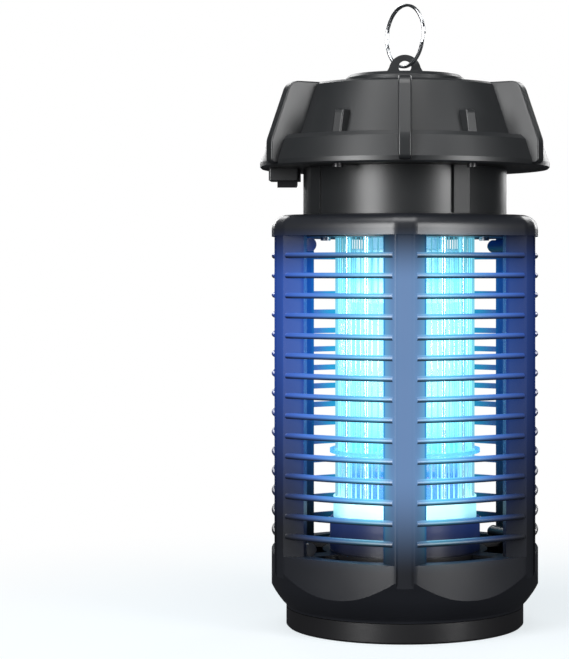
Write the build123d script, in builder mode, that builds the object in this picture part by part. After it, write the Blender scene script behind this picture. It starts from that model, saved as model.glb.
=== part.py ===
"""Electric bug zapper: a lantern that stands on its collection tray or hangs from its ring.

Millimetres, +Z up, -Y is the front. The origin is the centre of the flat foot.
The cage is six-sided: facets with barred windows at 0, 60 ... 300 degrees from +X, and
posts at 30, 90 ... 330 degrees between them.
"""

from build123d import *
from math import cos, degrees, radians, sin
import os

os.makedirs("parts", exist_ok=True)

# ---- driving dimensions ----------------------------------------------------------------
SIDES = 6
STEP = 360 / SIDES
HALF_STEP = STEP / 2
FACETS = [STEP * k for k in range(SIDES)]
POSTS = [STEP * k + HALF_STEP for k in range(SIDES)]

fit = 0.05  # radial clearance of a rod or screw in its own hole
seat_gap = 0.3  # between pieces that move past each other
slack = 0.2  # between fixed pieces that slide together

# collection tray, which is also the foot
foot_r = 63.3
foot_h = 10.3
foot_bevel = 1.0
tray_floor = 2.4
recess_r = 54.0
recess_h = 1.0
collar_r = 60.3
collar_wall = 2.4
collar_top = 22.0
lug_count = 3
lug_span = 12.0  # degrees
lug_reach = 1.5
lug_z = 14.6
lug_h = 2.2
unlock_turn = 20.0  # degrees of twist that frees the lugs

# cage
post_face_r = 75.3
post_half = 5.0
strip_half = 4.4
strip_depth = 1.1
facet_mid_r = 70.9
post_root_r = 66.3
post_root_half = 10.8
cavity_r = 64.3
throat_r = 62.2
skirt_top = 38.0
sill_z = 41.5
rail_z = 206.6
shoulder_z = 217.5
shoulder_round = 7.5
corner_round = 9.0
roof_wall = 2.7
bar_count = 15
bar_h = 2.9
bar_root = 2.2
seam_angle = 30.0
boss_r = 3.5
boss_len = 8.0
boss_z = (44.2, 202.0)
boss_ring_r = 60.9
screw_r = 1.4
screw_head_r = 2.6
screw_head_h = 1.8

# neck and cap
neck_r = 54.3
neck_wall = 2.4
flange_r = 62.0
flange_h = 2.2
brim_z = 242.6
brim_r = 77.3
brim_edge_h = 3.2
brim_top_r = 73.5
brim_top_z = brim_z + 16.1
cone_foot_r = 64.4
cone_top_r = 54.6
cone_top_z = brim_top_z + 28.1
crown_r = 33.0
crown_z = cone_top_z + 1.2
cap_wall = 2.4
cap_seat_r = 71.3
cap_floor_h = 2.4
gasket_h = 1.2
rib_w = 6.6
rib_reach = 81.0
small_rib_w = 5.6
small_rib_h = 12.0
rib_edge = 0.9
cap_screw_len = 9.0
pilaster_w = 9.5
pilaster_rise = 0.8
pilaster_angles = (-58, 32, 122, 212)
groove_turn = 5.9  # degrees from a strip's middle to the groove beside it
groove_w = 1.6
groove_depth = 1.0

# hanger
hanger_r = 32.6
hanger_h = 4.6
ear_w = 22.0
ear_top = crown_z + 15.9
ear_round = 8.6
ear_thick = 3.0
ear_hole_r = 3.4
ring_pivot_z = crown_z + 9.45
ring_outer_r = 17.25
ring_wire = 1.5
ring_turn = -54.0  # degrees from +X to the ring's plane
stud_r = 4.0
stud_len = 12.0
nut_r = 7.4
nut_h = 5.0

# killing grid and lamp
rod_count = 16
rod_ring_r = 36.2
rod_r = 1.5
rod_foot_z = 60.0
rod_in_ceiling = 1.6
ceiling_z = 206.0
ceiling_h = 2.8
grid_ring_outer = 40.1
grid_ring_inner = 34.0
grid_ring_h = 2.0
grid_ring_zs = (91.8, 184.7)
base_ring_outer = 38.2
base_ring_inner = 33.8
base_ring_top = 68.6
pedestal_r = 40.1
pedestal_top = 57.5
pedestal_wall = 2.2
lamp_ring_r = 24.0
tube_r = 6.0
tube_bend_r = 8.0
tube_foot_z = 92.6
tube_top_z = 172.0
collar_h = 4.0
lamp_base_r = 31.5
lamp_base_top = 200.0
lamp_turn = 51.0  # degrees from +X to the first leg
socket_r = 20.0

# chute floor
chute_h = 2.3
chute_inner_r = 44.0
chute_outer_r = 58.0
spoke_w = 12.0

# electronics
board_r = 46.0
board_z = brim_z + 6.4
board_h = 1.6
standoff_r = 3.0
standoff_ring_r = 40.0
wire_hole_r = 30.0

# switch
switch_r = 64.2
switch_len = 16.0
switch_w = 22.0
switch_h = 6.2
rocker_len = 10.0
rocker_w = 15.0
rocker_drop = 4.4
rocker_tilt = 8.0
rocker_axis_drop = 4.6
pin_r = 0.8

# cable entry, out through the back of the brim between a rib and a cap screw
gland_angle = 105.0
gland_z = brim_z + 8.4
gland_seat = 72.0  # from the axis to the floor of the gland's recess
gland_len = 7.5
gland_r = 5.6
gland_hole_r = 3.6
gland_lip = 0.8


# ---- shared geometry ------------------------------------------------------------------
def radial_plane(angle, z=0.0):
    """A plane through the axis: local x points outwards at the angle, local y points up."""
    a = radians(angle)
    return Plane(origin=(0, 0, z), x_dir=(cos(a), sin(a), 0), z_dir=(sin(a), -cos(a), 0))


def polar(radius, angle, z=0.0):
    return Vector(radius * cos(radians(angle)), radius * sin(radians(angle)), z)


def finish(built, label):
    built.part.label = label
    export_step(built.part, f"parts/{label}.step")


# A facet's outer face is one arc that ends on the post corners at either side.
corner_x = post_face_r * cos(radians(HALF_STEP)) + post_half * sin(radians(HALF_STEP))
corner_y = post_face_r * sin(radians(HALF_STEP)) - post_half * cos(radians(HALF_STEP))
facet_sag = facet_mid_r - corner_x
facet_arc_r = (corner_y**2 + facet_sag**2) / (2 * facet_sag)
root_x = post_root_r * cos(radians(HALF_STEP)) + post_root_half * sin(radians(HALF_STEP))
root_y = post_root_r * sin(radians(HALF_STEP)) - post_root_half * cos(radians(HALF_STEP))


def closed_outline(points):
    """A face inside straight lines through the points."""
    with BuildSketch() as outline:
        with BuildLine():
            Polyline(*points, close=True)
        make_face()
    return outline.sketch


def sector(inner, outer, middle, span):
    """A piece of a flat ring, centred on an angle."""
    with BuildSketch() as piece:
        with BuildLine():
            start, end = middle - span / 2, middle + span / 2
            ThreePointArc(polar(outer, start), polar(outer, middle), polar(outer, end))
            Line(polar(outer, end), polar(inner, end))
            ThreePointArc(polar(inner, end), polar(inner, middle), polar(inner, start))
            Line(polar(inner, start), polar(outer, start))
        make_face()
    return piece.sketch


def cage_outline():
    """Six gently convex facets with a narrow flat at each post."""
    with BuildSketch() as outline:
        with BuildLine():
            for angle in FACETS:
                low = Vector(corner_x, -corner_y).rotate(Axis.Z, angle)
                mid = Vector(facet_mid_r, 0).rotate(Axis.Z, angle)
                high = Vector(corner_x, corner_y).rotate(Axis.Z, angle)
                after = Vector(corner_x, -corner_y).rotate(Axis.Z, angle + STEP)
                ThreePointArc(low, mid, high)
                Line(high, after)
        make_face()
    return outline.sketch


# ---- cage ------------------------------------------------------------------------------
skirt_foot_z = foot_h + seat_gap + 0.05
window_points = [
    (corner_x + 12, corner_y),
    (corner_x, corner_y),
    (root_x, root_y),
    (cavity_r - 12, root_y),
    (cavity_r - 12, -root_y),
    (root_x, -root_y),
    (corner_x, -corner_y),
    (corner_x + 12, -corner_y),
]
groove_low = lug_z - seat_gap - 0.1
groove_high = lug_z + lug_h + seat_gap + 0.1
groove_r = collar_r + lug_reach + 0.5
lip_r = collar_r + seat_gap + 0.05
roof_z = shoulder_z - roof_wall
lug_angles = [k * 360 / lug_count for k in range(lug_count)]
strip_foot = skirt_foot_z + 12  # low enough for the strip to run out into the S curve
seam_normal = polar(1, seam_angle - 90)
seam_plane = Plane(origin=(0, 0, 0), x_dir=(0, 0, 1), z_dir=seam_normal)

with BuildPart() as cage:
    # solid block with the hexagonal plan, rounded over at the shoulder
    with BuildSketch(Plane.XY.offset(skirt_foot_z)):
        add(cage_outline())
    extrude(amount=shoulder_z - skirt_foot_z)
    fillet(cage.edges().filter_by(Axis.Z), radius=corner_round)
    fillet(cage.faces().sort_by(Axis.Z)[-1].edges(), radius=shoulder_round)
    # the skirt draws in to the foot along an S curve, cutting the facets off as scallops
    with BuildSketch(Plane.XZ):
        with BuildLine():
            foot_point = (foot_r, skirt_foot_z)
            skirt_point = (post_face_r + 1.2, skirt_top)
            Spline(
                foot_point,
                (foot_r + 1.3, skirt_foot_z + 2.3),
                (foot_r + 3.7, skirt_foot_z + 5.2),
                (foot_r + 7.1, skirt_foot_z + 10.4),
                (foot_r + 10.4, skirt_foot_z + 18.0),
                skirt_point,
                tangents=[(0, 1), (0.15, 1)],
            )
            Polyline(
                skirt_point,
                (post_face_r + 1.2, shoulder_z + 5),
                (0, shoulder_z + 5),
                (0, skirt_foot_z),
                foot_point,
            )
        make_face()
    revolve(axis=Axis.Z, mode=Mode.INTERSECT)
    # shallow strips that set the post faces back between the facets
    for angle in POSTS:
        with BuildSketch(Plane(polar(post_face_r, angle, strip_foot), x_dir=polar(1, angle))):
            Rectangle(2 * strip_depth, 2 * strip_half)
        extrude(amount=rail_z - strip_foot, mode=Mode.SUBTRACT)
    # inside: lip and groove for the tray lugs, throat, ledge for the floor, open chamber
    with BuildSketch(Plane.XZ):
        add(
            closed_outline(
                [
                    (0, skirt_foot_z - 1),
                    (lip_r, skirt_foot_z - 1),
                    (lip_r, groove_low),
                    (groove_r, groove_low),
                    (groove_r, groove_high),
                    (throat_r, groove_high),
                    (throat_r, skirt_top),
                    (cavity_r, skirt_top),
                    (cavity_r, roof_z),
                    (neck_r + slack, roof_z),
                    (neck_r + slack, shoulder_z + 1),
                    (0, shoulder_z + 1),
                ]
            )
        )
    revolve(axis=Axis.Z, mode=Mode.SUBTRACT)
    # entries that let the tray lugs rise past the lip once the tray is turned
    for angle in lug_angles:
        entry = angle + unlock_turn
        with BuildSketch(Plane.XY.offset(skirt_foot_z - 1)):
            add(sector(lip_r - 1, groove_r, entry, lug_span + 2))
        extrude(amount=groove_low - skirt_foot_z + 1.5, mode=Mode.SUBTRACT)
    # windows, their jambs slanting in to the back of the posts
    for angle in FACETS:
        with BuildSketch(Plane((0, 0, sill_z), x_dir=polar(1, angle))):
            add(closed_outline(window_points))
        extrude(amount=rail_z - sill_z, mode=Mode.SUBTRACT)

bar_pitch = (rail_z - sill_z) / (bar_count + 1)
bar_zs = [sill_z + bar_pitch * (k + 1) for k in range(bar_count)]
bar_centre = facet_mid_r - facet_arc_r
bar_sweep = degrees(2 * (corner_y - 1.2) / facet_arc_r)

with BuildPart() as window_bars:
    # one window's bars: round outside, flat roots inside, swept about the facet's centre
    for z in bar_zs:
        with BuildSketch(radial_plane(-bar_sweep / 2)):
            with Locations((facet_arc_r - bar_h / 2, z)):
                Circle(bar_h / 2)
            with Locations((facet_arc_r - bar_h / 2 - bar_root / 2, z)):
                Rectangle(bar_root, bar_h)
        revolve(axis=Axis.Z, revolution_arc=bar_sweep)


def bosses(side):
    """Four screw bosses of one half; side is 1 for the front half and -1 for the rear."""
    depth = boss_len if side < 0 else boss_len - 1.5
    feet = [
        Plane(origin=polar(boss_ring_r, angle, z), z_dir=seam_normal * side)
        for angle in (seam_angle, seam_angle + 180)
        for z in boss_z
    ]
    with BuildPart() as made:
        with BuildSketch(*feet):
            Circle(boss_r)
        extrude(amount=boss_len)
        with BuildSketch(*feet):
            Circle(screw_r + fit)
        extrude(amount=depth, mode=Mode.SUBTRACT)
    return made.part


bars_at_axis = window_bars.part.moved(Pos(bar_centre, 0, 0))

with BuildPart() as front_shell:
    add(cage.part)
    split(bisect_by=seam_plane, keep=Keep.TOP)
    for angle in (-STEP, 0, -2 * STEP):
        add(Rotation(0, 0, angle) * bars_at_axis)
    add(bosses(1))
finish(front_shell, "front_shell")

with BuildPart() as rear_shell:
    add(cage.part)
    split(bisect_by=seam_plane, keep=Keep.BOTTOM)
    for angle in (STEP, 2 * STEP, 3 * STEP):
        add(Rotation(0, 0, angle) * bars_at_axis)
    add(bosses(-1))
finish(rear_shell, "rear_shell")

screw_feet = [
    Plane(origin=polar(boss_ring_r, angle, z) - seam_normal * boss_len, z_dir=seam_normal)
    for angle in (seam_angle, seam_angle + 180)
    for z in boss_z
]
with BuildPart() as shell_screws:
    # four screws pushed in from the rear half; each head lies on its boss
    with BuildSketch(*screw_feet):
        Circle(screw_head_r)
    extrude(amount=-screw_head_h)
    with BuildSketch(*screw_feet):
        Circle(screw_r)
    extrude(amount=2 * boss_len - 2.5)
finish(shell_screws, "shell_screws")

# ---- collection tray -------------------------------------------------------------------
with BuildPart() as tray:
    with BuildSketch(Plane.XZ):
        add(
            closed_outline(
                [
                    (0, recess_h),
                    (recess_r, recess_h),
                    (recess_r, 0),
                    (foot_r - foot_bevel, 0),
                    (foot_r, foot_bevel),
                    (foot_r, foot_h),
                    (collar_r, foot_h),
                    (collar_r, collar_top),
                    (collar_r - collar_wall, collar_top),
                    (collar_r - collar_wall, recess_h + tray_floor),
                    (0, recess_h + tray_floor),
                ]
            )
        )
    revolve(axis=Axis.Z)
    for angle in lug_angles:
        with BuildSketch(Plane.XY.offset(lug_z)):
            add(sector(collar_r - 1, collar_r + lug_reach, angle, lug_span))
        extrude(amount=lug_h)
finish(tray, "collection_tray")

# ---- floor, pedestal and killing grid --------------------------------------------------
chute_top = skirt_top + chute_h
rod_angles = [360 / rod_count * (k + 0.5) for k in range(rod_count)]


def rod_places(every=1, first=0):
    return [polar(rod_ring_r, a) for a in rod_angles[first::every]]


with BuildPart() as floor_plate:
    with BuildSketch(Plane.XY.offset(skirt_top)):
        Circle(cavity_r - slack)
        Circle(chute_outer_r, mode=Mode.SUBTRACT)
        Circle(chute_inner_r)
        for angle in POSTS:
            with Locations(Location(polar((chute_inner_r + chute_outer_r) / 2, angle), angle)):
                Rectangle(chute_outer_r - chute_inner_r + 4, spoke_w)
    extrude(amount=chute_h)
finish(floor_plate, "floor_plate")

with BuildPart() as pedestal:
    with BuildSketch(Plane.XY.offset(chute_top)):
        Circle(pedestal_r)
    extrude(amount=pedestal_top - chute_top)
    with BuildSketch(Plane.XY.offset(chute_top)):
        Circle(pedestal_r - pedestal_wall)
    extrude(amount=pedestal_top - chute_top - pedestal_wall, mode=Mode.SUBTRACT)
    fillet(pedestal.faces().sort_by(Axis.Z)[-1].edges(), radius=0.8)
finish(pedestal, "pedestal")


def rod_ring(inner, outer, low, high, holes_from):
    """A ring of insulator with one hole for each rod, drilled from holes_from up."""
    with BuildPart() as made:
        with BuildSketch(Plane.XY.offset(low)):
            Circle(outer)
            if inner:
                Circle(inner, mode=Mode.SUBTRACT)
        extrude(amount=high - low)
        with BuildSketch(Plane.XY.offset(holes_from)):
            with Locations(*rod_places()):
                Circle(rod_r + fit)
        extrude(amount=high - holes_from, mode=Mode.SUBTRACT)
    return made


grid_base = rod_ring(
    base_ring_inner, base_ring_outer, pedestal_top, base_ring_top, rod_foot_z - 0.1
)
finish(grid_base, "grid_base_ring")
for name, low in zip(("grid_ring_lower", "grid_ring_upper"), grid_ring_zs):
    support = rod_ring(grid_ring_inner, grid_ring_outer, low, low + grid_ring_h, low)
    finish(support, name)

for name, first in (("grid_rods_live", 0), ("grid_rods_return", 1)):
    with BuildPart() as rods:
        with BuildSketch(Plane.XY.offset(rod_foot_z)):
            with Locations(*rod_places(2, first)):
                Circle(rod_r)
        extrude(amount=ceiling_z + rod_in_ceiling - rod_foot_z)
    finish(rods, name)

# ---- ceiling, neck and lamp ------------------------------------------------------------
ceiling_top = ceiling_z + ceiling_h
ceiling_screw_ring = neck_r - neck_wall - 4
ceiling_screw_angles = [90, 210, 330]

with BuildPart() as ceiling_plate:
    with BuildSketch(Plane.XY.offset(ceiling_z)):
        Circle(cavity_r - slack)
    extrude(amount=ceiling_h)
    with BuildSketch(Plane.XY.offset(ceiling_z)):
        with Locations(*rod_places()):
            Circle(rod_r + fit)
    extrude(amount=rod_in_ceiling + 0.1, mode=Mode.SUBTRACT)
    with BuildSketch(Plane.XY.offset(ceiling_z)):
        with Locations(*[polar(ceiling_screw_ring, a) for a in ceiling_screw_angles]):
            Circle(screw_r + fit)
    extrude(amount=ceiling_h, mode=Mode.SUBTRACT)
finish(ceiling_plate, "ceiling_plate")

flange_top = roof_z - slack
with BuildPart() as neck:
    with BuildSketch(Plane.XY.offset(ceiling_top)):
        Circle(neck_r)
    extrude(amount=brim_z - ceiling_top)
    with BuildSketch(Plane.XY.offset(flange_top - flange_h)):
        Circle(flange_r)
    extrude(amount=flange_h)
    # four flat strips up the neck, each with a groove beside it
    pilaster_foot = shoulder_z + 0.6
    for angle in pilaster_angles:
        with BuildSketch(Plane(polar(neck_r, angle, pilaster_foot), x_dir=polar(1, angle))):
            Rectangle(2 * pilaster_rise, pilaster_w)
        extrude(amount=brim_z - pilaster_foot)
    for angle in pilaster_angles:
        beside = angle - groove_turn
        with BuildSketch(Plane(polar(neck_r, beside, pilaster_foot), x_dir=polar(1, beside))):
            Rectangle(2 * groove_depth, groove_w)
        extrude(amount=brim_z - pilaster_foot, mode=Mode.SUBTRACT)
    with BuildSketch(Plane.XY.offset(ceiling_top)):
        Circle(neck_r - neck_wall)
    extrude(amount=brim_z - ceiling_top, mode=Mode.SUBTRACT)
    # screw bosses inside the foot of the neck
    with BuildSketch(Plane.XY.offset(ceiling_top)):
        with Locations(*[polar(ceiling_screw_ring, a) for a in ceiling_screw_angles]):
            Circle(boss_r + 1)
            Circle(screw_r + fit, mode=Mode.SUBTRACT)
    extrude(amount=boss_len)
finish(neck, "neck_housing")

with BuildPart() as ceiling_screws:
    with BuildSketch(Plane.XY.offset(ceiling_z)):
        with Locations(*[polar(ceiling_screw_ring, a) for a in ceiling_screw_angles]):
            Circle(screw_head_r)
    extrude(amount=-screw_head_h)
    with BuildSketch(Plane.XY.offset(ceiling_z)):
        with Locations(*[polar(ceiling_screw_ring, a) for a in ceiling_screw_angles]):
            Circle(screw_r)
    extrude(amount=boss_len)
finish(ceiling_screws, "ceiling_screws")

with BuildPart() as socket:
    with BuildSketch(Plane.XY.offset(lamp_base_top)):
        Circle(socket_r)
    extrude(amount=ceiling_z - lamp_base_top)
finish(socket, "lamp_socket")

leg_angles = [lamp_turn + 90 * k for k in range(4)]
legs = [polar(lamp_ring_r, a) for a in leg_angles]
lamp_base_foot = tube_top_z + collar_h
with BuildPart() as lamp_base:
    with BuildSketch(Plane.XY.offset(lamp_base_foot)):
        Circle(lamp_base_r)
    extrude(amount=lamp_base_top - lamp_base_foot)
    fillet(lamp_base.edges(), radius=1.5)
    with BuildSketch(Plane.XY.offset(tube_top_z)):
        with Locations(*legs):
            Circle(tube_r + 1.2)
    extrude(amount=collar_h)
finish(lamp_base, "lamp_base")

bend_z = tube_foot_z + tube_r
for name, first, last in (("uv_tube_right", 3, 0), ("uv_tube_left", 1, 2)):
    with BuildPart() as tube:
        a, b = legs[first], legs[last]
        with BuildLine() as route:
            FilletPolyline(
                (a.X, a.Y, tube_top_z),
                (a.X, a.Y, bend_z),
                (b.X, b.Y, bend_z),
                (b.X, b.Y, tube_top_z),
                radius=tube_bend_r,
            )
        with BuildSketch(Plane((a.X, a.Y, tube_top_z))):
            Circle(tube_r)
        sweep(path=route.wires()[0])
    finish(tube, name)

# ---- cap -------------------------------------------------------------------------------
cap_floor_top = brim_z + cap_floor_h
seat_z = cap_floor_top + gasket_h
brim_wall_r = cone_foot_r + 1.4
brim_roof_z = brim_top_z - cap_wall
cap_screw_places = [polar(cap_seat_r - 3.2, a) for a in (60, 120, 240, 300)]
gland_plane = Plane(
    origin=polar(gland_seat, gland_angle, gland_z), x_dir=(0, 0, 1), z_dir=polar(1, gland_angle)
)


def rounded_outline(points, rounds):
    """A closed outline with some of its corners rounded: (corner's number, radius)."""
    with BuildSketch() as outline:
        add(closed_outline(points))
        for corner, radius in rounds:
            fillet(outline.vertices().sort_by_distance(points[corner])[0], radius=radius)
    return outline.sketch


def rib(points, rounds, width):
    """A flat rib over +X: its outline's corners and then both its faces' edges rounded."""
    with BuildPart() as made:
        with BuildSketch(radial_plane(0)):
            add(rounded_outline(points, rounds))
        extrude(amount=width / 2, both=True)
        sides = made.faces().sort_by(Axis.Y)
        fillet(sides[0].edges() + sides[-1].edges(), radius=rib_edge)
    return made.part


tall_rib = rib(
    [
        (cone_top_r - 12, brim_z + 8),
        (cone_top_r - 12, cone_top_z),
        (rib_reach - 11.4, cone_top_z),
        (rib_reach, brim_top_z - 3.0),
        (rib_reach, brim_z + 1.2),
        (brim_top_r - 2, brim_z + 1.2),
    ],
    [(2, 7.0), (3, 9.0), (4, 2.4)],
    rib_w,
)
short_rib = rib(
    [
        (cone_top_r, brim_top_z - 2),
        (cone_top_r, brim_top_z + small_rib_h),
        (cone_foot_r + 2.4, brim_top_z + small_rib_h),
        (cone_foot_r + 5.6, brim_top_z - 2),
    ],
    [(2, 3.0)],
    small_rib_w,
)

with BuildPart() as cap:
    with BuildSketch(Plane.XZ):
        add(
            closed_outline(
                [
                    (0, brim_z),
                    (brim_r - 0.9, brim_z),
                    (brim_r, brim_z + 0.9),
                    (brim_r, brim_z + brim_edge_h),
                    (brim_top_r, brim_top_z - 2.2),
                    (brim_top_r - 2.2, brim_top_z),
                    (cone_foot_r, brim_top_z),
                    (cone_top_r, cone_top_z - 1.2),
                    (cone_top_r - 2.0, cone_top_z),
                    (crown_r, crown_z),
                    (0, crown_z),
                ]
            )
        )
    revolve(axis=Axis.Z)
    # six tall ribs over the posts, six short ones on the brim between them
    for angle in POSTS:
        add(Rotation(0, 0, angle) * tall_rib)
    for angle in FACETS:
        add(Rotation(0, 0, angle) * short_rib)
    # hollow for the electronics and the seat of the cap floor
    with BuildSketch(Plane.XZ):
        add(
            closed_outline(
                [
                    (0, brim_z - 1),
                    (cap_seat_r, brim_z - 1),
                    (cap_seat_r, seat_z),
                    (brim_wall_r, seat_z),
                    (brim_wall_r, brim_roof_z - 1),
                    (cone_foot_r - cap_wall, brim_roof_z + 2),
                    (cone_top_r - cap_wall, cone_top_z - cap_wall - 0.6),
                    (crown_r, crown_z - cap_wall - 0.6),
                    (0, crown_z - cap_wall - 0.6),
                ]
            )
        )
    revolve(axis=Axis.Z, mode=Mode.SUBTRACT)
    with BuildSketch(Plane.XY.offset(crown_z - stud_len)):
        Circle(stud_r + fit)
    extrude(amount=stud_len + 1, mode=Mode.SUBTRACT)
    with BuildSketch(Plane.XY.offset(seat_z)):
        with Locations(*cap_screw_places):
            Circle(screw_r + fit)
    extrude(amount=cap_screw_len - cap_floor_h - gasket_h + 0.5, mode=Mode.SUBTRACT)
    # recess for the cable gland and the way through the wall behind it
    with BuildSketch(gland_plane):
        Circle(gland_r + fit)
    extrude(amount=2 * gland_len, mode=Mode.SUBTRACT)
    with BuildSketch(gland_plane):
        Circle(gland_hole_r + slack)
    extrude(amount=-(gland_seat - brim_wall_r + 1), mode=Mode.SUBTRACT)
finish(cap, "cap")

with BuildPart() as gasket:
    with BuildSketch(Plane.XY.offset(cap_floor_top)):
        Circle(cap_seat_r - slack)
        Circle(brim_wall_r + 0.4, mode=Mode.SUBTRACT)
        with Locations(*cap_screw_places):
            Circle(screw_r + fit, mode=Mode.SUBTRACT)
    extrude(amount=gasket_h)
finish(gasket, "cap_gasket")

standoffs = [polar(standoff_ring_r, a) for a in (45, 135, 225, 315)]
with BuildPart() as cap_floor:
    with BuildSketch(Plane.XY.offset(brim_z)):
        Circle(cap_seat_r - slack)
        Circle(wire_hole_r, mode=Mode.SUBTRACT)
        with Locations(*cap_screw_places):
            Circle(screw_r + fit, mode=Mode.SUBTRACT)
    extrude(amount=cap_floor_h)
    with BuildSketch(Plane.XY.offset(cap_floor_top)):
        with Locations(*standoffs):
            Circle(standoff_r)
    extrude(amount=board_z - cap_floor_top)
finish(cap_floor, "cap_floor")

with BuildPart() as cap_screws:
    with BuildSketch(Plane.XY.offset(brim_z)):
        with Locations(*cap_screw_places):
            Circle(screw_head_r)
    extrude(amount=-screw_head_h)
    with BuildSketch(Plane.XY.offset(brim_z)):
        with Locations(*cap_screw_places):
            Circle(screw_r)
    extrude(amount=cap_screw_len)
finish(cap_screws, "cap_screws")

# ---- electronics in the cap ------------------------------------------------------------
board_top = board_z + board_h
with BuildPart() as board:
    with BuildSketch(Plane.XY.offset(board_z)):
        Circle(board_r)
    extrude(amount=board_h)
finish(board, "circuit_board")

with BuildPart() as transformer:
    with BuildSketch(Plane.XY.offset(board_top)):
        with Locations((-14, 10)):
            Rectangle(26, 22)
    extrude(amount=21)
    with BuildSketch(Plane.XY.offset(board_top + 5)):
        with Locations((-14, 10)):
            Rectangle(30, 15)
    extrude(amount=11)
finish(transformer, "transformer")

with BuildPart() as capacitors:
    with BuildSketch(Plane.XY.offset(board_top)):
        with Locations((20, 18), (20, 2), (20, -14)):
            Circle(6)
    extrude(amount=20)
finish(capacitors, "capacitors")

with BuildPart() as fuse:
    with BuildSketch(Plane((-24, -20, board_top + 3), z_dir=(1, 0, 0))):
        Circle(2.6)
    extrude(amount=20)
    with BuildSketch(Plane.XY.offset(board_top)):
        with Locations((-21, -20), (-7, -20)):
            Rectangle(4, 6)
    extrude(amount=3)
finish(fuse, "fuse")

# ---- hanger ----------------------------------------------------------------------------
hanger_top = crown_z + hanger_h
with BuildPart() as hanger:
    with BuildSketch(Plane.XZ):
        add(
            closed_outline(
                [
                    (0, crown_z - stud_len),
                    (stud_r, crown_z - stud_len),
                    (stud_r, crown_z),
                    (hanger_r, crown_z),
                    (hanger_r - 0.8, crown_z + hanger_h - 1.8),
                    (hanger_r - 3.0, hanger_top),
                    (0, hanger_top),
                ]
            )
        )
    revolve(axis=Axis.Z)
    with BuildSketch(Plane.XZ):
        with Locations((0, ear_top - ear_round)):
            Circle(ear_round)
        with BuildLine():
            Polyline(
                (-ear_w / 2, hanger_top - 1),
                (-ear_w / 2, hanger_top),
                (-ear_round * 0.87, ear_top - ear_round * 0.6),
                (ear_round * 0.87, ear_top - ear_round * 0.6),
                (ear_w / 2, hanger_top),
                (ear_w / 2, hanger_top - 1),
                close=True,
            )
        make_face()
    extrude(amount=ear_thick / 2, both=True)
    with BuildSketch(Plane.XZ):
        with Locations((0, ring_pivot_z)):
            Circle(ear_hole_r)
    extrude(amount=ear_thick, both=True, mode=Mode.SUBTRACT)
finish(hanger, "hanger_plate")

nut_top = crown_z - cap_wall - 0.6
with BuildPart() as nut:
    with BuildSketch(Plane.XY.offset(nut_top)):
        RegularPolygon(nut_r, 6)
        Circle(stud_r + fit, mode=Mode.SUBTRACT)
    extrude(amount=-nut_h)
finish(nut, "hanger_nut")

ring_mid_r = ring_outer_r - ring_wire / 2
ring_plane = radial_plane(ring_turn, ring_pivot_z)
with BuildPart() as ring:
    # two turns of wire lying side by side
    ring_axis = Axis((0, 0, ring_pivot_z + ring_mid_r), ring_plane.z_dir)
    with BuildSketch(Plane(ring_axis.position, x_dir=(0, 0, 1), z_dir=polar(1, ring_turn))):
        with Locations((ring_mid_r, -ring_wire * 0.47), (ring_mid_r, ring_wire * 0.47)):
            Circle(ring_wire / 2)
    revolve(axis=ring_axis)
finish(ring, "hanging_ring")

# ---- switch and cable entry ------------------------------------------------------------
with BuildPart() as switch_housing:
    with BuildSketch(Plane.XY.offset(brim_z)):
        with Locations((-switch_r, 0)):
            Rectangle(switch_len, switch_w)
    extrude(amount=-switch_h)
    fillet(switch_housing.edges().filter_by(Axis.Z), radius=1.2)
    with BuildSketch(Plane.XY.offset(brim_z - switch_h)):
        with Locations((-switch_r + 1.4, 0)):
            Rectangle(rocker_len + 2 * seat_gap, rocker_w + 2 * seat_gap + 1)
    extrude(amount=switch_h - 1, mode=Mode.SUBTRACT)
finish(switch_housing, "switch_housing")

rocker_z = brim_z - rocker_axis_drop
rocker_x = -switch_r + 1.4
rocker_mid = Plane((rocker_x, 0, rocker_z), x_dir=(0, 1, 0), z_dir=(1, 0, 0))
with BuildPart() as rocker:
    # pressed down on the front side, as when the lamp is on
    with BuildSketch(rocker_mid):
        with BuildLine():
            Polyline(
                (-rocker_w / 2, 0.4),
                (0, 1.8),
                (rocker_w / 2, 0.4),
                (rocker_w / 2, -rocker_drop),
                (0, -rocker_drop - 0.6),
                (-rocker_w / 2, -rocker_drop),
                close=True,
            )
        make_face()
    extrude(amount=rocker_len / 2, both=True)
    with BuildSketch(rocker_mid):
        Circle(pin_r + fit)
    extrude(amount=rocker_len, both=True, mode=Mode.SUBTRACT)
rocker.part.label = "switch_rocker"
tilted = rocker.part.rotate(Axis((rocker_x, 0, rocker_z), (1, 0, 0)), rocker_tilt)
tilted.label = "switch_rocker"
export_step(tilted, "parts/switch_rocker.step")

with BuildPart() as pin:
    with BuildSketch(rocker_mid.offset(-(rocker_len / 2 + seat_gap))):
        Circle(pin_r)
    extrude(amount=rocker_len + 2 * seat_gap)
finish(pin, "switch_pin")

with BuildPart() as gland:
    with BuildSketch(gland_plane):
        Circle(gland_r)
    extrude(amount=gland_len)
    outer_face = gland.faces().sort_by(Axis(gland_plane.origin, gland_plane.z_dir))[-1]
    fillet(outer_face.edges(), radius=gland_lip)
    with BuildSketch(gland_plane):
        Circle(gland_hole_r)
    extrude(amount=gland_len, mode=Mode.SUBTRACT)
finish(gland, "cable_gland")
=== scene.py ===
"""Electric bug zapper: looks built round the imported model. Metres, +Z up, front is -Y."""

import math

import bmesh
import bpy
from mathutils import Matrix, Vector


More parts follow.
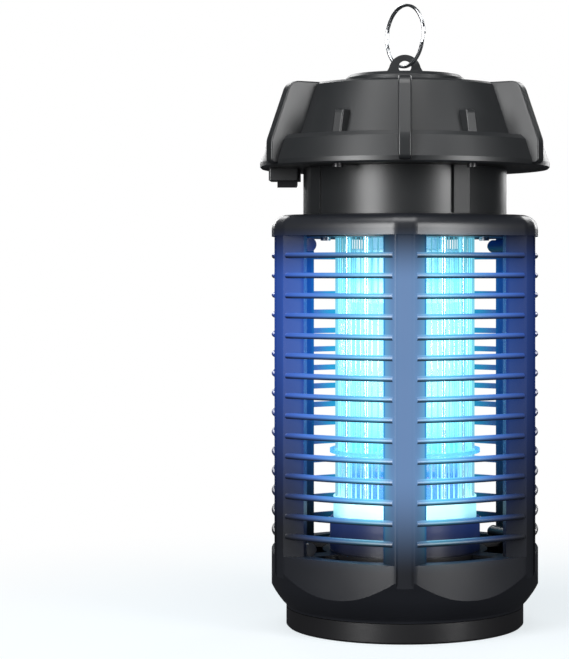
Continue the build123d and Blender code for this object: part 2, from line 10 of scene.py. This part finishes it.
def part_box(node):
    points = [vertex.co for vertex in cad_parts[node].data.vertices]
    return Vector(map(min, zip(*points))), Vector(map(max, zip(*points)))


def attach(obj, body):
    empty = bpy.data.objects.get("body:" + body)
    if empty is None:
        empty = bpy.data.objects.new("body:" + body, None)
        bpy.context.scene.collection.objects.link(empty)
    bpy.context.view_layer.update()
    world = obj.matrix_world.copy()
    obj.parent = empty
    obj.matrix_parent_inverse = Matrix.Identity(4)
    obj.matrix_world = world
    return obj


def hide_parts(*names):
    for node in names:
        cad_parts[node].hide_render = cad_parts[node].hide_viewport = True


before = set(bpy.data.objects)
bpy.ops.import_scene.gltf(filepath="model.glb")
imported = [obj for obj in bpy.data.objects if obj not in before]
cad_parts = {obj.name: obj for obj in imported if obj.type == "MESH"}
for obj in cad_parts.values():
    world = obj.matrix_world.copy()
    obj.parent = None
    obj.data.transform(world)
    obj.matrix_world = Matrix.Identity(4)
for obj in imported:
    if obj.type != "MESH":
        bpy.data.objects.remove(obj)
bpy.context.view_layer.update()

# ---- Camera ----------------------------------------------------------------------------
# A level camera a little above the middle of the lantern, one long lens length away,
# framed so that the lantern stands right of the centre.
lens_mm = 108.7
camera_distance = 1.0647
camera_height = 0.1878
camera_data = bpy.data.cameras.new("camera")
camera_data.lens = lens_mm
camera_data.sensor_width = 36.0
camera_data.shift_x = -0.1827
camera_data.shift_y = -0.0873
camera_data.dof.use_dof = False
camera = bpy.data.objects.new("camera", camera_data)
camera.location = (0, -camera_distance, camera_height)
camera.rotation_euler = (math.radians(90), 0, 0)
bpy.context.scene.collection.objects.link(camera)
bpy.context.scene.camera = camera
bpy.context.scene.view_settings.view_transform = "Standard"


# ---- Black moulded shells --------------------------------------------------------------
# The cap, neck, tray, floor and hanger are satin black ABS from a spark-eroded mould:
# a fine even grain and slightly uneven gloss.
def add_node(tree, kind, **settings):
    node = tree.nodes.new(kind)
    for name, value in settings.items():
        setattr(node, name, value)
    return node


def new_material(name):
    material = bpy.data.materials.new(name)
    material.use_nodes = True
    return material, material.node_tree, material.node_tree.nodes["Principled BSDF"]


def dress(node_name, material):
    """Puts one material in every slot of a CAD node."""
    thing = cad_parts[node_name]
    if not thing.material_slots:
        thing.data.materials.append(material)
    for place in thing.material_slots:
        place.material = material


grain = bpy.data.node_groups.new("moulded grain", "ShaderNodeTree")
for name, kind, start in (
    ("Colour", "NodeSocketColor", (0.03, 0.03, 0.033, 1)),
    ("Gloss Roughness", "NodeSocketFloat", 0.4),
    ("Grain Size", "NodeSocketFloat", 0.0007),
    ("Grain Depth", "NodeSocketFloat", 0.15),
):
    socket = grain.interface.new_socket(name, in_out="INPUT", socket_type=kind)
    socket.default_value = start
for name, kind in (
    ("Colour", "NodeSocketColor"),
    ("Roughness", "NodeSocketFloat"),
    ("Normal", "NodeSocketVector"),
):
    grain.interface.new_socket(name, in_out="OUTPUT", socket_type=kind)
inside = add_node(grain, "NodeGroupInput")
result = add_node(grain, "NodeGroupOutput")
where = add_node(grain, "ShaderNodeTexCoord")
size = add_node(grain, "ShaderNodeMath", operation="DIVIDE")
size.inputs[0].default_value = 1.0
fine = add_node(grain, "ShaderNodeTexNoise")
fine.inputs["Detail"].default_value = 3.0
broad = add_node(grain, "ShaderNodeTexNoise")
broad.inputs["Scale"].default_value = 26.0
broad.inputs["Detail"].default_value = 4.0
bump = add_node(grain, "ShaderNodeBump")
bump.inputs["Distance"].default_value = 0.0001
shade = add_node(grain, "ShaderNodeMix", data_type="RGBA", blend_type="MULTIPLY")
tone = add_node(grain, "ShaderNodeMapRange")
tone.inputs["To Min"].default_value = 0.82
tone.inputs["To Max"].default_value = 1.15
rough = add_node(grain, "ShaderNodeMath", operation="MULTIPLY")
grain.links.new(inside.outputs["Grain Size"], size.inputs[1])
grain.links.new(size.outputs[0], fine.inputs["Scale"])
grain.links.new(where.outputs["Object"], fine.inputs["Vector"])
grain.links.new(where.outputs["Object"], broad.inputs["Vector"])
grain.links.new(fine.outputs["Fac"], bump.inputs["Height"])
grain.links.new(inside.outputs["Grain Depth"], bump.inputs["Strength"])
grain.links.new(broad.outputs["Fac"], tone.inputs["Value"])
shade.inputs["Factor"].default_value = 1.0
grain.links.new(inside.outputs["Colour"], shade.inputs["A"])
grain.links.new(tone.outputs[0], shade.inputs["B"])
grain.links.new(tone.outputs[0], rough.inputs[0])
grain.links.new(inside.outputs["Gloss Roughness"], rough.inputs[1])
grain.links.new(shade.outputs["Result"], result.inputs["Colour"])
grain.links.new(rough.outputs[0], result.inputs["Roughness"])
grain.links.new(bump.outputs["Normal"], result.inputs["Normal"])


def moulded(name, colour, gloss, size_m=0.0006, depth=0.2):
    material, tree, shader = new_material(name)
    group = add_node(tree, "ShaderNodeGroup", node_tree=grain)
    group.inputs["Colour"].default_value = (*colour, 1)
    group.inputs["Gloss Roughness"].default_value = gloss
    group.inputs["Grain Size"].default_value = size_m
    group.inputs["Grain Depth"].default_value = depth
    tree.links.new(group.outputs["Colour"], shader.inputs["Base Color"])
    tree.links.new(group.outputs["Roughness"], shader.inputs["Roughness"])
    tree.links.new(group.outputs["Normal"], shader.inputs["Normal"])
    return material, tree, shader


black_abs, _, _ = moulded("black ABS", (0.011, 0.012, 0.013), 0.37)
for name in ("cap", "cap_floor", "neck_housing", "hanger_plate", "switch_housing"):
    dress(name, black_abs)
tray_abs, _, _ = moulded("tray ABS", (0.009, 0.009, 0.010), 0.34)
for name in ("collection_tray", "floor_plate", "ceiling_plate"):
    dress(name, tray_abs)

# ---- Cage ------------------------------------------------------------------------------
# Two half shells of the same black ABS, each with three barred windows, screwed together
# down one front and one rear post. The lamp's blue light on them is painted on as emission:
# palest on the front and rear posts, sky blue on the bars beside the tubes, deep blue at the
# sides.
def ranged(tree, source, low, high, low_value=0.0, high_value=1.0, smooth=True):
    """Maps a value from low..high to low_value..high_value."""
    node = add_node(tree, "ShaderNodeMapRange")
    node.interpolation_type = "SMOOTHSTEP" if smooth else "LINEAR"
    for socket, value in (
        ("From Min", low), ("From Max", high), ("To Min", low_value), ("To Max", high_value)
    ):
        node.inputs[socket].default_value = value
    tree.links.new(source, node.inputs["Value"])
    return node.outputs[0]


def combined(tree, operation, first, second):
    node = add_node(tree, "ShaderNodeMath", operation=operation)
    for socket, value in zip(node.inputs, (first, second)):
        if isinstance(value, (int, float)):
            socket.default_value = value
        else:
            tree.links.new(value, socket)
    return node.outputs[0]


def blended(tree, factor, first, second):
    """A colour that runs from first to second as the factor goes from 0 to 1."""
    node = add_node(tree, "ShaderNodeMix", data_type="RGBA")
    tree.links.new(factor, node.inputs["Factor"])
    for socket, value in ((node.inputs["A"], first), (node.inputs["B"], second)):
        if isinstance(value, tuple):
            socket.default_value = (*value, 1)
        else:
            tree.links.new(value, socket)
    return node.outputs["Result"]


def ramped(tree, source, stops):
    node = add_node(tree, "ShaderNodeValToRGB")
    ramp = node.color_ramp
    ramp.elements[0].position, ramp.elements[1].position = stops[0][0], stops[-1][0]
    ramp.elements[0].color, ramp.elements[1].color = (*stops[0][1], 1), (*stops[-1][1], 1)
    for place, colour in stops[1:-1]:
        ramp.elements.new(place).color = (*colour, 1)
    tree.links.new(source, node.inputs[0])
    return node.outputs["Color"]


def object_place(tree):
    """Object coordinates as x, y and z, and the distance from the lantern's axis."""
    where = add_node(tree, "ShaderNodeTexCoord")
    parts = add_node(tree, "ShaderNodeSeparateXYZ")
    tree.links.new(where.outputs["Object"], parts.inputs[0])
    x, y, z = (parts.outputs[name] for name in "XYZ")
    radius = combined(
        tree, "SQRT",
        combined(tree, "ADD", combined(tree, "MULTIPLY", x, x), combined(tree, "MULTIPLY", y, y)),
        0.0,
    )
    return where, x, y, z, radius


cage_abs, tree, shader = moulded("cage ABS", (0.009, 0.010, 0.013), 0.33)
where, x, y, z, radius = object_place(tree)
frontness = combined(tree, "DIVIDE", combined(tree, "ABSOLUTE", y, 0.0), radius)
# Painted light: the colour of the lamp's glow on the shells, set by how squarely a place faces
# front or back.
painted_glow = ramped(tree, frontness, (
    (0.0, (0.006, 0.020, 0.12)),
    (0.38, (0.014, 0.045, 0.26)),
    (0.57, (0.026, 0.100, 0.48)),
    (0.75, (0.068, 0.205, 0.70)),
    (0.89, (0.100, 0.360, 0.80)),
    (0.965, (0.120, 0.600, 0.92)),
    (0.984, (0.150, 0.590, 0.93)),
    (0.997, (0.160, 0.290, 0.55)),
))
# Painted light: the inner faces get their own painted blue, turning cyan towards the back.
inner_blue = ramped(tree, frontness, (
    (0.0, (0.003, 0.025, 0.26)),
    (0.48, (0.003, 0.050, 0.42)),
    (0.70, (0.004, 0.085, 0.54)),
    (1.0, (0.010, 0.300, 0.80)),
))
rear_cyan = ramped(tree, frontness, (
    (0.0, (0.003, 0.030, 0.30)),
    (0.58, (0.004, 0.090, 0.50)),
    (0.68, (0.006, 0.380, 0.80)),
    (1.0, (0.010, 0.520, 0.94)),
))
inner_blue = blended(tree, ranged(tree, y, 0.030, 0.044), inner_blue, rear_cyan)
outward_r, inward_r = 0.0690, 0.0672
inward = ranged(tree, radius, outward_r, inward_r)
painted_glow = blended(tree, inward, painted_glow, inner_blue)
# Painted light: the painted glow fades out above the windows and rises from the foot, sooner near
# the front and rear posts.
unlit_z, lit_z = 0.2115, 0.182
top_fade = ranged(tree, z, unlit_z, lit_z)
side_rise = ranged(tree, z, 0.050, 0.165)
front_rise = ranged(tree, z, 0.036, 0.088)
nearness = ranged(tree, frontness, 0.55, 0.93)
mixed_rise = combined(
    tree, "ADD",
    combined(tree, "MULTIPLY", front_rise, nearness),
    combined(tree, "MULTIPLY", side_rise, combined(tree, "SUBTRACT", 1.0, nearness)),
)
split_normal = add_node(tree, "ShaderNodeSeparateXYZ")
tree.links.new(where.outputs["Normal"], split_normal.inputs[0])
# Painted shade: faces turned up get more of the painted glow, faces turned down almost none.
turned_up = ranged(tree, split_normal.outputs["Z"], -0.6, 0.6, 0.05, 1.55, smooth=False)
# Painted light: the painted glow weakens towards the right side (+x).
left_side = ranged(tree, x, 0.012, 0.07, 1.0, 0.40, smooth=False)
glow = combined(tree, "MULTIPLY", combined(tree, "MULTIPLY", top_fade, mixed_rise), left_side)
glow = combined(tree, "MULTIPLY", glow, turned_up)
# The painted glow goes into the emission, so the black shells glow though they are no lamp.
tree.links.new(
    blended(tree, glow, (0.0, 0.0, 0.0), painted_glow), shader.inputs["Emission Color"]
)
shader.inputs["Emission Strength"].default_value = 1.0
for name in ("front_shell", "rear_shell"):
    dress(name, cage_abs)

# ---- Lamp ------------------------------------------------------------------------------
# Two bent fluorescent tubes hang from a white heat-proof base. They burn cyan-white along
# the middle and fall off to a deeper blue at the bends. A clear sleeve stands round them.
def lit(name, stops, low, high, colour, gloss, strength=1.0):
    """A moulded finish that glows by height, from the stops between low and high."""
    material, tree, shader = moulded(name, colour, gloss, 0.0009, 0.3)
    _, _, _, z, _ = object_place(tree)
    tree.links.new(
        ramped(tree, ranged(tree, z, low, high, smooth=False), stops),
        shader.inputs["Emission Color"],
    )
    shader.inputs["Emission Strength"].default_value = strength
    return material, tree, shader


tube_low, tube_high = (corner.z for corner in map(Vector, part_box("uv_tube_left")))
glow_glass, _, _ = lit(
    "burning tube",
    (
        (0.0, (0.10, 0.55, 0.90)),
        (0.10, (0.30, 0.92, 1.00)),
        (0.30, (0.66, 1.00, 1.00)),
        (0.80, (0.66, 1.00, 1.00)),
        (1.0, (0.36, 0.92, 0.98)),
    ),
    tube_low, tube_high, (0.4, 0.7, 0.8), 0.15,
)
for name in ("uv_tube_left", "uv_tube_right"):
    dress(name, glow_glass)

# Painted light: the base and socket get the tubes' cyan light painted on as emission, brightest
# at their lower end.
base_low, base_high = (corner.z for corner in map(Vector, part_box("lamp_base")))
white_base, _, _ = lit(
    "heat-proof white",
    ((0.0, (0.24, 0.74, 0.84)), (0.5, (0.16, 0.52, 0.66)), (1.0, (0.08, 0.27, 0.42))),
    base_low, base_high, (0.6, 0.8, 0.85), 0.5,
)
for name in ("lamp_base", "lamp_socket"):
    dress(name, white_base)
# Painted light: the white ring at the grid's foot gets the lamp's cyan light painted on as
# emission, brightest at its top.
foot_low, foot_high = (corner.z for corner in map(Vector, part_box("grid_base_ring")))
foot_white, _, _ = lit(
    "lit white foot",
    ((0.0, (0.22, 0.62, 0.78)), (0.35, (0.42, 0.92, 0.98)), (1.0, (0.46, 0.96, 1.0))),
    foot_low, foot_high, (0.6, 0.8, 0.85), 0.5,
)
dress("grid_base_ring", foot_white)

sleeve_r = 0.0328
sleeve_wall = 0.0006
sleeve_sunk = 0.008
sleeve_gap = 0.0005
sleeve_mesh = bmesh.new()
ring_edge = bmesh.ops.create_circle(sleeve_mesh, cap_ends=False, segments=96, radius=sleeve_r)
bmesh.ops.translate(sleeve_mesh, verts=sleeve_mesh.verts, vec=(0, 0, foot_high - sleeve_sunk))
pulled = bmesh.ops.extrude_edge_only(sleeve_mesh, edges=sleeve_mesh.edges[:])
raised = [part for part in pulled["geom"] if isinstance(part, bmesh.types.BMVert)]
bmesh.ops.translate(
    sleeve_mesh, verts=raised, vec=(0, 0, base_low - foot_high + sleeve_sunk - sleeve_gap)
)
bmesh.ops.recalc_face_normals(sleeve_mesh, faces=sleeve_mesh.faces)
bmesh.ops.solidify(sleeve_mesh, geom=sleeve_mesh.faces[:], thickness=sleeve_wall)
sleeve_data = bpy.data.meshes.new("lamp_sleeve")
sleeve_mesh.to_mesh(sleeve_data)
sleeve_mesh.free()
for face in sleeve_data.polygons:
    face.use_smooth = True
lamp_sleeve = bpy.data.objects.new("lamp_sleeve", sleeve_data)
bpy.context.scene.collection.objects.link(lamp_sleeve)
# Painted light: the tubes' light in the clear sleeve is painted as emission, deep blue low down
# and cyan higher up.
sleeve_clear, tree, shader = lit(
    "glowing clear sleeve",
    (
        (0.0, (0.03, 0.12, 0.50)),
        (0.18, (0.04, 0.17, 0.62)),
        (0.30, (0.14, 0.74, 0.90)),
        (0.50, (0.30, 0.92, 1.00)),
        (0.85, (0.30, 0.90, 0.98)),
        (1.0, (0.28, 0.78, 0.88)),
    ),
    foot_high - sleeve_sunk, base_low, (0.1, 0.3, 0.4), 0.1,
)
facing = add_node(tree, "ShaderNodeLayerWeight")
facing.inputs["Blend"].default_value = 0.4
tree.links.new(
    ranged(tree, facing.outputs["Facing"], 0.0, 0.9, 0.26, 0.70, smooth=False),
    shader.inputs["Alpha"],
)
sleeve_data.materials.append(sleeve_clear)
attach(lamp_sleeve, "housing")

# ---- Killing grid ----------------------------------------------------------------------
# Sixteen bright drawn stainless rods, alternately live and return, held by two clear
# polycarbonate rings and a white ring at the foot, with fine wires strung between them.
grid_low, grid_high = foot_high, Vector(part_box("ceiling_plate")[0]).z
rod_steel, tree, shader = new_material("drawn stainless")
where, _, _, z, _ = object_place(tree)
stretch = add_node(tree, "ShaderNodeMapping")
stretch.inputs["Scale"].default_value = (4000, 4000, 40)
lines = add_node(tree, "ShaderNodeTexNoise")
lines.inputs["Scale"].default_value = 1.0
tree.links.new(where.outputs["Object"], stretch.inputs["Vector"])
tree.links.new(stretch.outputs[0], lines.inputs["Vector"])
tree.links.new(
    ranged(tree, lines.outputs["Fac"], 0.0, 1.0, 0.14, 0.34), shader.inputs["Roughness"]
)
# Painted light: the lamp's cyan light on the rods and wires is painted as emission, brightest at
# mid-height.
tree.links.new(
    ramped(tree, ranged(tree, z, grid_low, grid_high, smooth=False), (
        (0.0, (0.28, 0.66, 0.82)),
        (0.20, (0.22, 0.64, 0.84)),
        (0.35, (0.24, 0.80, 0.92)),
        (0.75, (0.24, 0.80, 0.92)),
        (1.0, (0.14, 0.48, 0.62)),
    )),
    shader.inputs["Emission Color"],
)
shader.inputs["Emission Strength"].default_value = 0.85
shader.inputs["Base Color"].default_value = (0.75, 0.85, 0.9, 1)
shader.inputs["Metallic"].default_value = 1.0
for name in ("grid_rods_live", "grid_rods_return"):
    dress(name, rod_steel)

wire_count = 64
wire_r = 0.0004
wire_ring_r = 0.0362
wires_per_rod = 4
first_wire_turn = 11.25  # degrees, so that every fourth place falls on a rod
wires_mesh = bmesh.new()
for k in range(wire_count):
    if k % wires_per_rod == 0:
        continue
    made = bmesh.ops.create_cone(
        wires_mesh, cap_ends=True, segments=8, radius1=wire_r, radius2=wire_r,
        depth=grid_high - grid_low,
    )
    turn = math.radians(360 / wire_count * k + first_wire_turn)
    bmesh.ops.translate(
        wires_mesh, verts=made["verts"],
        vec=(
            wire_ring_r * math.cos(turn),
            wire_ring_r * math.sin(turn),
            (grid_low + grid_high) / 2,
        ),
    )
wires_data = bpy.data.meshes.new("grid_wires")
wires_mesh.to_mesh(wires_data)
wires_mesh.free()
for face in wires_data.polygons:
    face.use_smooth = len(face.vertices) == 4
grid_wires = bpy.data.objects.new("grid_wires", wires_data)
bpy.context.scene.collection.objects.link(grid_wires)
wires_data.materials.append(rod_steel)
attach(grid_wires, "housing")

# Painted light: the lamp's blue light in the clear rings is painted as emission.
clear_ring, _, shader = lit(
    "clear polycarbonate",
    ((0.0, (0.10, 0.36, 0.75)), (0.5, (0.14, 0.60, 0.85)), (1.0, (0.10, 0.50, 0.75))),
    0.08, 0.19, (0.3, 0.6, 0.8), 0.2, 0.6,
)
shader.inputs["Transmission Weight"].default_value = 0.6
for name in ("grid_ring_lower", "grid_ring_upper"):
    dress(name, clear_ring)

# ---- Pedestal --------------------------------------------------------------------------
# The round hollow stand under the grid is moulded in black ABS and rests on the floor round
# the chute. The lamp's blue light on its upper part is painted on as emission.
stand_low, stand_high = 0.038, 0.0575
# Painted light: emission by height, black at the bottom and deep blue at the top.
pedestal_abs, _, _ = lit(
    "pedestal with painted lamp glow",
    ((0.0, (0.0, 0.0, 0.0)), (0.35, (0.004, 0.008, 0.03)), (1.0, (0.012, 0.030, 0.13))),
    stand_low, stand_high, (0.010, 0.010, 0.012), 0.38,
)
dress("pedestal", pedestal_abs)

# ---- Hanging ring ----------------------------------------------------------------------
# A split ring of bright plated spring wire, wound twice so that its two turns lie side by
# side; each end of the wire is cut square and lies against the other turn.
ring_low, ring_high = (Vector(corner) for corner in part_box("hanging_ring"))
ring_middle = (ring_low + ring_high) / 2
ring_outer = (ring_high.z - ring_low.z) / 2
wire = 0.0015
turns = 2
wound_share = 0.985
steps = 144
pitch = wire * 0.94
ring_angle = math.radians(-54)
across = Vector((math.sin(ring_angle), -math.cos(ring_angle), 0))
ring_mesh = bmesh.new()
section = bmesh.ops.create_circle(ring_mesh, cap_ends=True, segments=14, radius=wire / 2)
bmesh.ops.rotate(
    ring_mesh, verts=ring_mesh.verts, cent=(0, 0, 0), matrix=Matrix.Rotation(math.pi / 2, 3, "X")
)
bmesh.ops.translate(ring_mesh, verts=ring_mesh.verts, vec=(ring_outer - wire / 2, 0, -pitch / 2))
bmesh.ops.spin(
    ring_mesh,
    geom=ring_mesh.faces[:],
    cent=(0, 0, 0),
    axis=(0, 0, 1),
    dvec=(0, 0, pitch * (turns - 1) / steps),
    angle=2 * math.pi * turns * wound_share,
    steps=steps,
)
bmesh.ops.recalc_face_normals(ring_mesh, faces=ring_mesh.faces)
stand = Matrix.Rotation(math.radians(90), 3, "X")
stand = Matrix.Rotation(ring_angle, 3, "Z") @ stand
bmesh.ops.rotate(ring_mesh, verts=ring_mesh.verts, cent=(0, 0, 0), matrix=stand)
bmesh.ops.translate(ring_mesh, verts=ring_mesh.verts, vec=ring_middle)
ring_data = bpy.data.meshes.new("split_ring")
ring_mesh.to_mesh(ring_data)
ring_mesh.free()
split_ring = bpy.data.objects.new("split_ring", ring_data)
bpy.context.scene.collection.objects.link(split_ring)
for face in ring_data.polygons:
    face.use_smooth = True
plated, tree, shader = new_material("bright plating")
scuffs = add_node(tree, "ShaderNodeTexNoise")
scuffs.inputs["Scale"].default_value = 900.0
where = add_node(tree, "ShaderNodeTexCoord")
spread = add_node(tree, "ShaderNodeMapRange")
spread.inputs["To Min"].default_value = 0.06
spread.inputs["To Max"].default_value = 0.22
tree.links.new(where.outputs["Object"], scuffs.inputs["Vector"])
tree.links.new(scuffs.outputs["Fac"], spread.inputs["Value"])
tree.links.new(spread.outputs[0], shader.inputs["Roughness"])
shader.inputs["Base Color"].default_value = (0.62, 0.64, 0.66, 1)
shader.inputs["Metallic"].default_value = 1.0
ring_data.materials.append(plated)
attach(split_ring, "ring")
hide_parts("hanging_ring")

# ---- Switch, gland and fasteners -------------------------------------------------------
# A smooth black rocker on a steel pin, a soft cable gland, and zinc-plated screws.
rocker_black, _, _ = moulded("rocker black", (0.012, 0.012, 0.013), 0.25, 0.002, 0.05)
dress("switch_rocker", rocker_black)
soft_black, _, _ = moulded("soft black rubber", (0.02, 0.02, 0.02), 0.75, 0.0012, 0.4)
for name in ("cable_gland", "cap_gasket"):
    dress(name, soft_black)
zinc, _, shader = moulded("zinc plating", (0.55, 0.56, 0.58), 0.34, 0.0008, 0.2)
shader.inputs["Metallic"].default_value = 1.0
for name in ("hanger_nut", "switch_pin", "ceiling_screws"):
    dress(name, zinc)
black_zinc, _, _ = moulded("black zinc plating", (0.015, 0.015, 0.017), 0.38, 0.0008, 0.2)
for name in ("cap_screws", "shell_screws"):
    dress(name, black_zinc)

# ---- Electronics -----------------------------------------------------------------------
# The driver board in the cap: green glass-fibre board, taped transformer, sleeved
# capacitors and a glass fuse.
board_green, _, _ = moulded("solder mask", (0.02, 0.16, 0.06), 0.3, 0.0015, 0.2)
dress("circuit_board", board_green)
taped, _, _ = moulded("taped winding", (0.5, 0.36, 0.08), 0.45, 0.0015, 0.4)
dress("transformer", taped)
sleeve, _, _ = moulded("capacitor sleeve", (0.03, 0.03, 0.12), 0.3, 0.002, 0.1)
dress("capacitors", sleeve)
fuse_glass, _, _ = moulded("fuse glass", (0.7, 0.75, 0.75), 0.15, 0.002, 0.05)
dress("fuse", fuse_glass)

# ---- Floor and light -------------------------------------------------------------------
# A plain pale floor, a bright plain surround, and large soft lamps left, right and above.
floor_mesh = bmesh.new()
bmesh.ops.create_grid(floor_mesh, x_segments=1, y_segments=1, size=30)
floor_data = bpy.data.meshes.new("floor")
floor_mesh.to_mesh(floor_data)
floor_mesh.free()
floor = bpy.data.objects.new("floor", floor_data)
bpy.context.scene.collection.objects.link(floor)
pale, tree, shader = new_material("pale floor")
where, _, _, _, radius = object_place(tree)
mottle = add_node(tree, "ShaderNodeTexNoise")
mottle.inputs["Scale"].default_value = 3.0
tree.links.new(where.outputs["Object"], mottle.inputs["Vector"])
away = ranged(tree, radius, 0.09, 0.42)
seen = add_node(tree, "ShaderNodeLightPath")
near_white = blended(tree, mottle.outputs["Fac"], (0.18, 0.19, 0.20), (0.20, 0.21, 0.215))
near_white = blended(tree, away, near_white, (0.0, 0.0, 0.0))
tree.links.new(
    blended(tree, seen.outputs["Is Camera Ray"], (0.02, 0.02, 0.022), near_white),
    shader.inputs["Base Color"],
)
own_white = blended(tree, away, (0.66, 0.70, 0.72), (1.0, 1.0, 1.0))
tree.links.new(
    blended(tree, seen.outputs["Is Camera Ray"], (0.012, 0.013, 0.014), own_white),
    shader.inputs["Emission Color"],
)
shader.inputs["Emission Strength"].default_value = 1.0
shader.inputs["Specular IOR Level"].default_value = 0.0
shader.inputs["Roughness"].default_value = 0.6
floor_data.materials.append(pale)

world = bpy.data.worlds.new("surround")
bpy.context.scene.world = world
world.use_nodes = True
tree = world.node_tree
tree.nodes.clear()
seen = add_node(tree, "ShaderNodeLightPath")
bright = add_node(tree, "ShaderNodeBackground")
bright.inputs["Color"].default_value = (1, 1, 1, 1)
bright.inputs["Strength"].default_value = 1.0
dim = add_node(tree, "ShaderNodeBackground")
dim.inputs["Color"].default_value = (0.9, 0.95, 1, 1)
dim.inputs["Strength"].default_value = 0.06
blend = add_node(tree, "ShaderNodeMixShader")
out = add_node(tree, "ShaderNodeOutputWorld")
tree.links.new(seen.outputs["Is Camera Ray"], blend.inputs["Fac"])
tree.links.new(dim.outputs[0], blend.inputs[1])
tree.links.new(bright.outputs[0], blend.inputs[2])
tree.links.new(blend.outputs[0], out.inputs["Surface"])

target = Vector((0, 0, 0.16))
for name, place, width, height, power in (
    ("left softbox", (-0.86, -1.10, 0.50), 0.56, 1.0, 27),
    ("right softbox", (1.02, -0.92, 0.45), 0.40, 1.0, 18),
    ("top softbox", (-0.1, -0.45, 1.25), 1.1, 0.7, 13),
    ("back left softbox", (-0.50, 1.25, 0.75), 0.45, 0.9, 6),
    ("back right softbox", (0.62, 1.20, 0.70), 0.40, 0.9, 6),
):
    light_data = bpy.data.lights.new(name, "AREA")
    light_data.shape = "RECTANGLE"
    light_data.size = width
    light_data.size_y = height
    light_data.energy = power
    light = bpy.data.objects.new(name, light_data)
    light.location = place
    light.rotation_euler = (Vector(place) - target).to_track_quat("Z", "Y").to_euler()
    bpy.context.scene.collection.objects.link(light)
